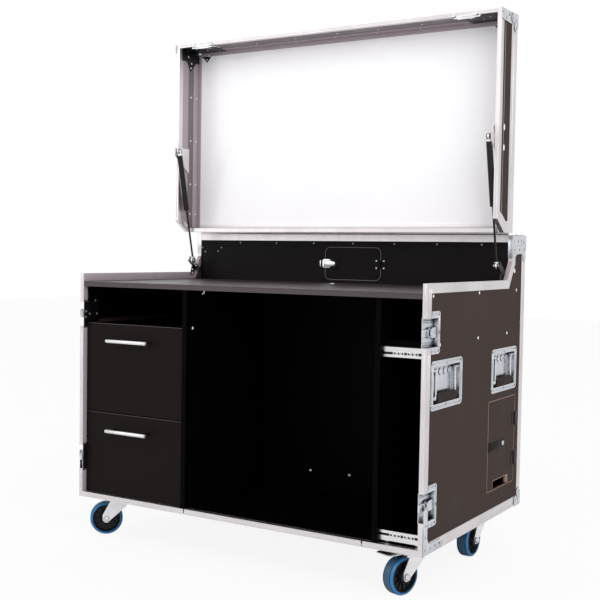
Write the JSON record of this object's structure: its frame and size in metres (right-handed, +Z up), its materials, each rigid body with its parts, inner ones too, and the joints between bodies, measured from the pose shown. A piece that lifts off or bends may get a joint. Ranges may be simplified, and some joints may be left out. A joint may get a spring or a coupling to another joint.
{
  "type": "workstation road case",
  "caption": "Black road case on castors with a hinged writing-board lid, worktop, drawers, kneehole, rack bay, side handles and turning latches.",
  "frame": {"origin": "floor level under the middle of the whole case, with the left latch wings standing out", "axes": "+X to the right as one faces the open front, +Y to the rear, +Z up"},
  "size_m": [1.1735, 0.7433, 1.5815],
  "materials": {
    "case_panel": "black phenolic laminate on plywood, satin, fine grain",
    "black_board": "black laminated board, satin",
    "aluminium_edge": "mill-finish extrusion with light scratches",
    "zinc_plate": "bright zinc plate",
    "writing_board": "gloss white writing surface",
    "rack_steel": "bright zinc plate",
    "strut_black": "satin black",
    "blue_tyre": "blue elastic rubber on a black hub"
  },
  "bodies": {
    "case": {"base_panel": "black_board", "left_side_panel": "case_panel", "right_side_panel": "case_panel", "back_panel": "case_panel", "service_panel": "black_board", "compartment_wall": "black_board", "rear_top_panel": "case_panel", "worktop": "black_board", "left_partition": "black_board", "right_partition": "black_board", "top_rack_rail": "rack_steel", "bottom_rack_rail": "rack_steel", "left_edge_frame": "aluminium_edge", "right_edge_frame": "aluminium_edge", "body_edge_frame": "aluminium_edge", "left_front_handle_dish": "zinc_plate", "left_rear_handle_dish": "zinc_plate", "right_front_handle_dish": "zinc_plate", "right_rear_handle_dish": "zinc_plate", "front_left_castor_plate": "zinc_plate", "front_right_castor_plate": "zinc_plate", "rear_left_castor_plate": "zinc_plate", "rear_right_castor_plate": "zinc_plate"},
    "lid": {"lid_shell": "case_panel", "whiteboard": "writing_board", "lid_edge_frame": "aluminium_edge"},
    "left_strut_tube": {"left_strut_tube": "strut_black"},
    "left_strut_rod": {"left_strut_rod": "rack_steel"},
    "right_strut_tube": {"right_strut_tube": "strut_black"},
    "right_strut_rod": {"right_strut_rod": "rack_steel"},
    "upper_drawer": {"upper_drawer": "black_board"},
    "lower_drawer": {"lower_drawer": "black_board"},
    "left_front_bail": {"left_front_bail": "zinc_plate"},
    "left_rear_bail": {"left_rear_bail": "zinc_plate"},
    "left_upper_latch_hook": {"left_upper_latch_hook": "zinc_plate"},
    "left_upper_latch_cam": {"left_upper_latch_cam": "zinc_plate"},
    "left_upper_latch_wing": {"left_upper_latch_wing": "zinc_plate"},
    "left_lower_latch_hook": {"left_lower_latch_hook": "zinc_plate"},
    "left_lower_latch_cam": {"left_lower_latch_cam": "zinc_plate"},
    "left_lower_latch_wing": {"left_lower_latch_wing": "zinc_plate"},
    "right_front_bail": {"right_front_bail": "zinc_plate"},
    "right_rear_bail": {"right_rear_bail": "zinc_plate"},
    "right_upper_latch_hook": {"right_upper_latch_hook": "zinc_plate"},
    "right_upper_latch_cam": {"right_upper_latch_cam": "zinc_plate"},
    "right_upper_latch_wing": {"right_upper_latch_wing": "zinc_plate"},
    "right_lower_latch_hook": {"right_lower_latch_hook": "zinc_plate"},
    "right_lower_latch_cam": {"right_lower_latch_cam": "zinc_plate"},
    "right_lower_latch_wing": {"right_lower_latch_wing": "zinc_plate"},
    "hatch_door": {"hatch_door": "black_board"},
    "hatch_latch": {"hatch_latch": "zinc_plate"},
    "access_door": {"access_door": "case_panel"},
    "front_left_castor_fork": {"front_left_castor_fork": "zinc_plate"},
    "front_left_castor_wheel": {"front_left_castor_wheel": "blue_tyre"},
    "front_right_castor_fork": {"front_right_castor_fork": "zinc_plate"},
    "front_right_castor_wheel": {"front_right_castor_wheel": "blue_tyre"},
    "front_right_brake_pedal": {"front_right_brake_pedal": "zinc_plate"},
    "rear_left_castor_fork": {"rear_left_castor_fork": "zinc_plate"},
    "rear_left_castor_wheel": {"rear_left_castor_wheel": "blue_tyre"},
    "rear_right_castor_fork": {"rear_right_castor_fork": "zinc_plate"},
    "rear_right_castor_wheel": {"rear_right_castor_wheel": "blue_tyre"}
  },
  "joints": [
    {"name": "lid_hinge", "type": "hinge", "parent": "case", "child": "lid", "pos_m": [0.014, 0.258, 0.946], "axis": [1, 0, 0], "range_deg": [0, 90], "stiffness_Nm_per_rad": 8, "springref_deg": -85.94},
    {"name": "left_strut_swing", "type": "hinge", "parent": "case", "child": "left_strut_rod", "pos_m": [-0.531, 0.194, 0.85], "axis": [1, 0, 0], "range_deg": [-1, 92.5]},
    {"name": "left_strut_stroke", "type": "slide", "parent": "left_strut_rod", "child": "left_strut_tube", "axis": [0, 0.2287, -0.9735], "range_m": [0, 0.16401]},
    {"name": "right_strut_swing", "type": "hinge", "parent": "case", "child": "right_strut_rod", "pos_m": [0.559, 0.194, 0.85], "axis": [1, 0, 0], "range_deg": [-1, 92.5]},
    {"name": "right_strut_stroke", "type": "slide", "parent": "right_strut_rod", "child": "right_strut_tube", "axis": [0, 0.2287, -0.9735], "range_m": [0, 0.16401]},
    {"name": "upper_drawer_slide", "type": "slide", "parent": "case", "child": "upper_drawer", "axis": [0, -1, 0], "range_m": [0, 0.35]},
    {"name": "lower_drawer_slide", "type": "slide", "parent": "case", "child": "lower_drawer", "axis": [0, -1, 0], "range_m": [0, 0.35]},
    {"name": "left_front_bail_hinge", "type": "hinge", "parent": "case", "child": "left_front_bail", "pos_m": [-0.5515, -0.216, 0.588], "axis": [0, 1, 0], "range_deg": [0, 90], "stiffness_Nm_per_rad": 0.4, "springref_deg": -17.19},
    {"name": "left_rear_bail_hinge", "type": "hinge", "parent": "case", "child": "left_rear_bail", "pos_m": [-0.5515, 0.209, 0.588], "axis": [0, 1, 0], "range_deg": [0, 90], "stiffness_Nm_per_rad": 0.4, "springref_deg": -17.19},
    {"name": "left_upper_latch_turn", "type": "hinge", "parent": "case", "child": "left_upper_latch_cam", "pos_m": [-0.5461, -0.316, 0.685], "axis": [1, 0, 0], "range_deg": [0, 180]},
    {"name": "left_upper_latch_wing_fold", "type": "hinge", "parent": "left_upper_latch_cam", "child": "left_upper_latch_wing", "pos_m": [-0.5514, -0.316, 0.685], "axis": [0, 0, -1], "range_deg": [0, 90]},
    {"name": "left_upper_latch_draw", "type": "slide", "parent": "case", "child": "left_upper_latch_hook", "axis": [0, 1, 0], "range_m": [0, 0.0101]},
    {"name": "left_lower_latch_turn", "type": "hinge", "parent": "case", "child": "left_lower_latch_cam", "pos_m": [-0.5461, -0.316, 0.247], "axis": [1, 0, 0], "range_deg": [0, 180]},
    {"name": "left_lower_latch_wing_fold", "type": "hinge", "parent": "left_lower_latch_cam", "child": "left_lower_latch_wing", "pos_m": [-0.5514, -0.316, 0.247], "axis": [0, 0, -1], "range_deg": [0, 90]},
    {"name": "left_lower_latch_draw", "type": "slide", "parent": "case", "child": "left_lower_latch_hook", "axis": [0, 1, 0], "range_m": [0, 0.0101]},
    {"name": "right_front_bail_hinge", "type": "hinge", "parent": "case", "child": "right_front_bail", "pos_m": [0.5795, -0.216, 0.588], "axis": [0, -1, 0], "range_deg": [0, 90], "stiffness_Nm_per_rad": 0.4, "springref_deg": -17.19},
    {"name": "right_rear_bail_hinge", "type": "hinge", "parent": "case", "child": "right_rear_bail", "pos_m": [0.5795, 0.209, 0.588], "axis": [0, -1, 0], "range_deg": [0, 90], "stiffness_Nm_per_rad": 0.4, "springref_deg": -17.19},
    {"name": "right_upper_latch_turn", "type": "hinge", "parent": "case", "child": "right_upper_latch_cam", "pos_m": [0.5741, -0.316, 0.685], "axis": [1, 0, 0], "range_deg": [0, 180]},
    {"name": "right_upper_latch_wing_fold", "type": "hinge", "parent": "right_upper_latch_cam", "child": "right_upper_latch_wing", "pos_m": [0.5794, -0.316, 0.685], "axis": [0, 0, -1], "range_deg": [0, 90]},
    {"name": "right_upper_latch_draw", "type": "slide", "parent": "case", "child": "right_upper_latch_hook", "axis": [0, 1, 0], "range_m": [0, 0.0101]},
    {"name": "right_lower_latch_turn", "type": "hinge", "parent": "case", "child": "right_lower_latch_cam", "pos_m": [0.5741, -0.316, 0.247], "axis": [1, 0, 0], "range_deg": [0, 180]},
    {"name": "right_lower_latch_wing_fold", "type": "hinge", "parent": "right_lower_latch_cam", "child": "right_lower_latch_wing", "pos_m": [0.5794, -0.316, 0.247], "axis": [0, 0, -1], "range_deg": [0, 90]},
    {"name": "right_lower_latch_draw", "type": "slide", "parent": "case", "child": "right_lower_latch_hook", "axis": [0, 1, 0], "range_m": [0, 0.0101]},
    {"name": "hatch_hinge", "type": "hinge", "parent": "case", "child": "hatch_door", "pos_m": [0.1536, 0.2568, 0.8465], "axis": [0, 0, -1], "range_deg": [-110, 0]},
    {"name": "hatch_latch_lever", "type": "hinge", "parent": "hatch_door", "child": "hatch_latch", "pos_m": [-0.006, 0.2556, 0.8465], "axis": [0, 0, 1], "range_deg": [0, 100]},
    {"name": "access_door_hinge", "type": "hinge", "parent": "case", "child": "access_door", "pos_m": [0.5852, 0.3106, 0.208], "axis": [0, 0, 1], "range_deg": [0, 120]},
    {"name": "front_left_castor_swivel", "type": "hinge", "parent": "case", "child": "front_left_castor_fork", "pos_m": [-0.481, -0.25, 0.11], "axis": [0, 0, 1], "continuous": true},
    {"name": "front_left_castor_spin", "type": "hinge", "parent": "front_left_castor_fork", "child": "front_left_castor_wheel", "pos_m": [-0.50989, -0.27468, 0.05], "axis": [-0.6494, 0.7604, 0], "continuous": true},
    {"name": "front_right_castor_swivel", "type": "hinge", "parent": "case", "child": "front_right_castor_fork", "pos_m": [0.509, -0.25, 0.11], "axis": [0, 0, 1], "continuous": true},
    {"name": "front_right_castor_spin", "type": "hinge", "parent": "front_right_castor_fork", "child": "front_right_castor_wheel", "pos_m": [0.496, -0.28571, 0.05], "axis": [-0.9397, 0.342, 0], "continuous": true},
    {"name": "front_right_brake", "type": "hinge", "parent": "front_right_castor_fork", "child": "front_right_brake_pedal", "pos_m": [0.49771, -0.28101, 0.105], "axis": [0.9397, -0.342, 0], "range_deg": [0, 12]},
    {"name": "rear_left_castor_swivel", "type": "hinge", "parent": "case", "child": "rear_left_castor_fork", "pos_m": [-0.481, 0.195, 0.11], "axis": [0, 0, 1], "continuous": true},
    {"name": "rear_left_castor_spin", "type": "hinge", "parent": "rear_left_castor_fork", "child": "rear_left_castor_wheel", "pos_m": [-0.50225, 0.2265, 0.05], "axis": [0.829, 0.5592, 0], "continuous": true},
    {"name": "rear_right_castor_swivel", "type": "hinge", "parent": "case", "child": "rear_right_castor_fork", "pos_m": [0.509, 0.195, 0.11], "axis": [0, 0, 1], "continuous": true},
    {"name": "rear_right_castor_spin", "type": "hinge", "parent": "rear_right_castor_fork", "child": "rear_right_castor_wheel", "pos_m": [0.50767, 0.15702, 0.05], "axis": [-0.9994, 0.0349, 0], "continuous": true}
  ],
  "couplings": [
    {"joint": "left_strut_swing", "follows": "lid_hinge", "ratio": 1.0163},
    {"joint": "left_strut_stroke", "follows": "lid_hinge", "m_per_rad": 0.10377},
    {"joint": "right_strut_swing", "follows": "lid_hinge", "ratio": 1.0163},
    {"joint": "right_strut_stroke", "follows": "lid_hinge", "m_per_rad": 0.10377},
    {"joint": "left_upper_latch_draw", "follows": "left_upper_latch_turn", "m_per_rad": 0.003183},
    {"joint": "left_lower_latch_draw", "follows": "left_lower_latch_turn", "m_per_rad": 0.003183},
    {"joint": "right_upper_latch_draw", "follows": "right_upper_latch_turn", "m_per_rad": 0.003183},
    {"joint": "right_lower_latch_draw", "follows": "right_lower_latch_turn", "m_per_rad": 0.003183}
  ]
}
